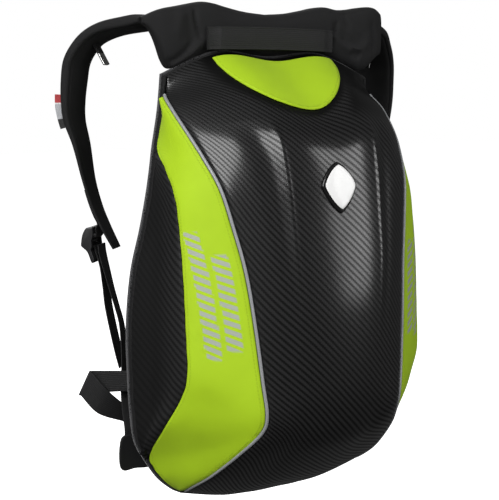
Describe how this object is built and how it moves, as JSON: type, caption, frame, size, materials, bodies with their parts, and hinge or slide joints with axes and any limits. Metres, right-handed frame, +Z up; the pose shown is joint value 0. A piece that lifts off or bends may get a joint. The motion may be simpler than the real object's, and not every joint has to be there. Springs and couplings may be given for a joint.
{
  "type": "hard shell backpack",
  "caption": "Backpack with a moulded carbon-weave hard shell, bright side and top panels, padded shoulder straps, haul handle and webbing waist belt.",
  "frame": {"origin": "middle of the back panel's padded face, where the pack sits on the wearer's back", "axes": "+Z up, the shell faces -Y and the wearer stands at +Y, +X to the right when the shell is looked at"},
  "size_m": [0.4063, 0.2413, 0.507],
  "materials": {
    "shell_carbon": "moulded shell skin embossed with a diagonal carbon twill, satin gloss",
    "bright_cloth": "neon yellow-green laminated cloth, fine plain weave",
    "gusset_carbon": "black coated cloth with a twill emboss, matt",
    "reflective_piping": "grey retroreflective piping",
    "black_cloth": "black nylon cloth, soft folds, matt",
    "back_cloth": "black spacer mesh over foam",
    "webbing": "black ribbed webbing",
    "buckle_plastic": "moulded black acetal, satin",
    "badge_rim": "gloss black rim",
    "badge_face": "plain satin white inlay",
    "woven_tab": "small woven tab, red over grey",
    "ring_steel": "polished steel"
  },
  "bodies": {
    "root": {"shell": "shell_carbon", "top_panel": "bright_cloth", "badge_base": "badge_rim", "badge_face": "badge_face", "side_panel_left": "bright_cloth", "side_panel_right": "bright_cloth", "gusset_left": "gusset_carbon", "gusset_right": "gusset_carbon", "piping_left": "reflective_piping", "piping_right": "reflective_piping", "edge_binding": "black_cloth", "back_panel": "back_cloth", "yoke": "black_cloth", "haul_handle": "webbing", "shoulder_strap_left": "black_cloth", "shoulder_strap_right": "black_cloth", "strap_webbing_left": "webbing", "strap_webbing_right": "webbing", "ladder_lock_left": "buckle_plastic", "ladder_lock_right": "buckle_plastic", "adjuster_tail_left": "webbing", "adjuster_tail_right": "webbing", "adjuster_run_left": "webbing", "adjuster_run_right": "webbing", "lower_anchor_left": "webbing", "lower_anchor_right": "webbing", "waist_webbing_left": "webbing", "waist_webbing_right": "webbing", "waist_buckle": "buckle_plastic", "strap_tab": "woven_tab", "chest_loop_left": "webbing", "chest_loop_right": "webbing", "chest_ring_left": "ring_steel", "chest_ring_right": "ring_steel"}
  },
  "joints": []
}
